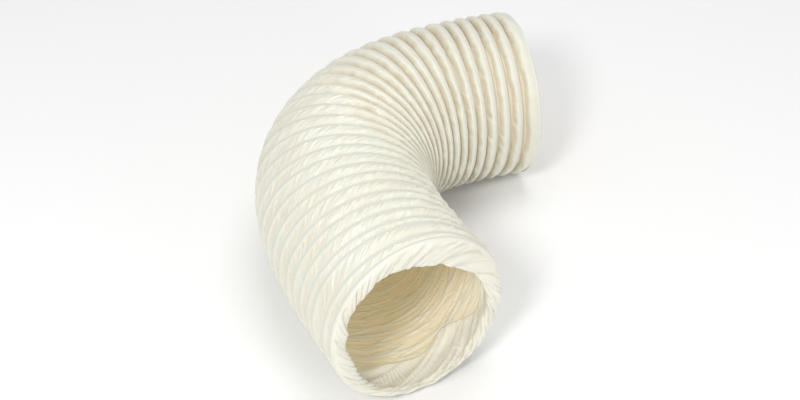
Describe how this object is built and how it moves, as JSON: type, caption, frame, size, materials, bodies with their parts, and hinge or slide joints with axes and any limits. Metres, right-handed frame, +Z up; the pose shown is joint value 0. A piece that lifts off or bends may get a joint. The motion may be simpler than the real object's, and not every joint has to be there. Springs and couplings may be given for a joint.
{
  "type": "flexible air duct",
  "caption": "Flexible air duct: a plastic film tube wound over a spring-wire helix, open at both ends, bent to one side.",
  "frame": {"origin": "on the floor, under the middle of the duct's box as it lies", "axes": "+Z up; +X to the right and +Y away from a viewer who faces the near mouth; the duct lies flat, its bend in the XY plane"},
  "size_m": [0.1748, 0.2976, 0.104],
  "materials": {
    "film": "semi-gloss thin cream PVC film, wrinkled",
    "hem": "semi-gloss thin cream PVC film, folded and creased",
    "wire": "drawn spring steel"
  },
  "bodies": {
    "span_01": {"film_span_01": "film", "wire_span_01": "wire", "near_hem": "hem", "near_end_ring": "wire"},
    "span_02": {"film_span_02": "film", "wire_span_02": "wire"},
    "span_03": {"film_span_03": "film", "wire_span_03": "wire"},
    "span_04": {"film_span_04": "film", "wire_span_04": "wire"},
    "span_05": {"film_span_05": "film", "wire_span_05": "wire"},
    "span_06": {"film_span_06": "film", "wire_span_06": "wire"},
    "span_07": {"film_span_07": "film", "wire_span_07": "wire"},
    "span_08": {"film_span_08": "film", "wire_span_08": "wire"},
    "span_09": {"film_span_09": "film", "wire_span_09": "wire"},
    "span_10": {"film_span_10": "film", "wire_span_10": "wire"},
    "span_11": {"film_span_11": "film", "wire_span_11": "wire"},
    "span_12": {"film_span_12": "film", "wire_span_12": "wire"},
    "span_13": {"film_span_13": "film", "wire_span_13": "wire"},
    "span_14": {"film_span_14": "film", "wire_span_14": "wire"},
    "span_15": {"film_span_15": "film", "wire_span_15": "wire"},
    "span_16": {"film_span_16": "film", "wire_span_16": "wire"},
    "span_17": {"film_span_17": "film", "wire_span_17": "wire"},
    "span_18": {"film_span_18": "film", "wire_span_18": "wire"},
    "span_19": {"film_span_19": "film", "wire_span_19": "wire"},
    "span_20": {"film_span_20": "film", "wire_span_20": "wire"},
    "span_21": {"film_span_21": "film", "wire_span_21": "wire"},
    "span_22": {"film_span_22": "film", "wire_span_22": "wire"},
    "span_23": {"film_span_23": "film", "wire_span_23": "wire"},
    "span_24": {"film_span_24": "film", "wire_span_24": "wire"},
    "span_25": {"film_span_25": "film", "wire_span_25": "wire"},
    "span_26": {"film_span_26": "film", "wire_span_26": "wire"},
    "span_27": {"film_span_27": "film", "wire_span_27": "wire"},
    "span_28": {"film_span_28": "film", "wire_span_28": "wire", "far_hem": "hem", "far_end_ring": "wire"}
  },
  "joints": [
    {"name": "near_bend", "type": "hinge", "parent": "span_16", "child": "span_15", "pos_m": [0.01641, 0.0056, 0.052], "axis": [0, 0, 1], "range_deg": [-6.43, 5.42]},
    {"name": "near_bend_2", "type": "hinge", "parent": "span_15", "child": "span_14", "pos_m": [0.01561, 0.00135, 0.052], "axis": [0, 0, 1], "range_deg": [-6.19, 5.21]},
    {"name": "near_bend_3", "type": "hinge", "parent": "span_14", "child": "span_13", "pos_m": [0.01525, -0.00333, 0.052], "axis": [0, 0, 1], "range_deg": [-5.77, 4.86]},
    {"name": "near_bend_4", "type": "hinge", "parent": "span_13", "child": "span_12", "pos_m": [0.01538, -0.00849, 0.052], "axis": [0, 0, 1], "range_deg": [-5.23, 4.41]},
    {"name": "near_bend_5", "type": "hinge", "parent": "span_12", "child": "span_11", "pos_m": [0.01604, -0.01414, 0.052], "axis": [0, 0, 1], "range_deg": [-4.61, 3.88]},
    {"name": "near_bend_6", "type": "hinge", "parent": "span_11", "child": "span_10", "pos_m": [0.01725, -0.02027, 0.052], "axis": [0, 0, 1], "range_deg": [-3.95, 3.33]},
    {"name": "near_bend_7", "type": "hinge", "parent": "span_10", "child": "span_09", "pos_m": [0.01901, -0.0268, 0.052], "axis": [0, 0, 1], "range_deg": [-3.3, 2.78]},
    {"name": "near_bend_8", "type": "hinge", "parent": "span_09", "child": "span_08", "pos_m": [0.02127, -0.03368, 0.052], "axis": [0, 0, 1], "range_deg": [-2.68, 2.26]},
    {"name": "near_bend_9", "type": "hinge", "parent": "span_08", "child": "span_07", "pos_m": [0.02398, -0.04082, 0.052], "axis": [0, 0, 1], "range_deg": [-2.13, 1.79]},
    {"name": "near_stretch", "type": "slide", "parent": "span_07", "child": "span_06", "axis": [0.3881, -0.9216, 0], "range_m": [-0.002, 0.018]},
    {"name": "near_stretch_2", "type": "slide", "parent": "span_06", "child": "span_05", "axis": [0.4123, -0.911, 0], "range_m": [-0.002, 0.018]},
    {"name": "near_stretch_3", "type": "slide", "parent": "span_05", "child": "span_04", "axis": [0.4303, -0.9027, 0], "range_m": [-0.002, 0.018]},
    {"name": "near_stretch_4", "type": "slide", "parent": "span_04", "child": "span_03", "axis": [0.4435, -0.8963, 0], "range_m": [-0.002, 0.018]},
    {"name": "near_stretch_5", "type": "slide", "parent": "span_03", "child": "span_02", "axis": [0.453, -0.8915, 0], "range_m": [-0.002, 0.018]},
    {"name": "near_tilt", "type": "hinge", "parent": "span_02", "child": "span_01", "pos_m": [-0.00269, -0.10288, 0.10265], "axis": [-0.888, -0.4598, 0], "range_deg": [0, 14]},
    {"name": "far_bend", "type": "hinge", "parent": "span_16", "child": "span_17", "pos_m": [0.01763, 0.00949, 0.052], "axis": [0, 0, -1], "range_deg": [-6.51, 5.48]},
    {"name": "far_bend_2", "type": "hinge", "parent": "span_17", "child": "span_18", "pos_m": [0.01927, 0.01312, 0.052], "axis": [0, 0, -1], "range_deg": [-6.39, 5.39]},
    {"name": "far_bend_3", "type": "hinge", "parent": "span_18", "child": "span_19", "pos_m": [0.02135, 0.01658, 0.052], "axis": [0, 0, -1], "range_deg": [-6.11, 5.14]},
    {"name": "far_bend_4", "type": "hinge", "parent": "span_19", "child": "span_20", "pos_m": [0.02393, 0.01993, 0.052], "axis": [0, 0, -1], "range_deg": [-5.67, 4.78]},
    {"name": "far_bend_5", "type": "hinge", "parent": "span_20", "child": "span_21", "pos_m": [0.02708, 0.02321, 0.052], "axis": [0, 0, -1], "range_deg": [-5.12, 4.32]},
    {"name": "far_bend_6", "type": "hinge", "parent": "span_21", "child": "span_22", "pos_m": [0.03081, 0.02642, 0.052], "axis": [0, 0, -1], "range_deg": [-4.51, 3.8]},
    {"name": "far_bend_7", "type": "hinge", "parent": "span_22", "child": "span_23", "pos_m": [0.03517, 0.02953, 0.052], "axis": [0, 0, -1], "range_deg": [-3.88, 3.27]},
    {"name": "far_bend_8", "type": "hinge", "parent": "span_23", "child": "span_24", "pos_m": [0.0401, 0.03252, 0.052], "axis": [0, 0, -1], "range_deg": [-3.26, 2.75]},
    {"name": "far_bend_9", "type": "hinge", "parent": "span_24", "child": "span_25", "pos_m": [0.04558, 0.03538, 0.052], "axis": [0, 0, -1], "range_deg": [-2.68, 2.26]},
    {"name": "far_stretch", "type": "slide", "parent": "span_25", "child": "span_26", "axis": [0.9278, 0.373, 0], "range_m": [-0.002, 0.018]},
    {"name": "far_stretch_2", "type": "slide", "parent": "span_26", "child": "span_27", "axis": [0.9404, 0.34, 0], "range_m": [-0.002, 0.018]},
    {"name": "far_tilt", "type": "hinge", "parent": "span_27", "child": "span_28", "pos_m": [0.05416, 0.09298, 0.10265], "axis": [0.3137, -0.9495, 0], "range_deg": [0, 14]}
  ],
  "couplings": [
    {"joint": "near_bend_2", "follows": "near_bend", "ratio": 0.9607},
    {"joint": "near_bend_3", "follows": "near_bend", "ratio": 0.8964},
    {"joint": "near_bend_4", "follows": "near_bend", "ratio": 0.8125},
    {"joint": "near_bend_5", "follows": "near_bend", "ratio": 0.7158},
    {"joint": "near_bend_6", "follows": "near_bend", "ratio": 0.6133},
    {"joint": "near_bend_7", "follows": "near_bend", "ratio": 0.5116},
    {"joint": "near_bend_8", "follows": "near_bend", "ratio": 0.416},
    {"joint": "near_bend_9", "follows": "near_bend", "ratio": 0.3301},
    {"joint": "near_stretch_2", "follows": "near_stretch", "ratio": 1},
    {"joint": "near_stretch_3", "follows": "near_stretch", "ratio": 1},
    {"joint": "near_stretch_4", "follows": "near_stretch", "ratio": 1},
    {"joint": "near_stretch_5", "follows": "near_stretch", "ratio": 1},
    {"joint": "far_bend_2", "follows": "far_bend", "ratio": 0.9822},
    {"joint": "far_bend_3", "follows": "far_bend", "ratio": 0.9376},
    {"joint": "far_bend_4", "follows": "far_bend", "ratio": 0.8705},
    {"joint": "far_bend_5", "follows": "far_bend", "ratio": 0.7869},
    {"joint": "far_bend_6", "follows": "far_bend", "ratio": 0.6932},
    {"joint": "far_bend_7", "follows": "far_bend", "ratio": 0.596},
    {"joint": "far_bend_8", "follows": "far_bend", "ratio": 0.5007},
    {"joint": "far_bend_9", "follows": "far_bend", "ratio": 0.4118},
    {"joint": "far_stretch_2", "follows": "far_stretch", "ratio": 1}
  ]
}
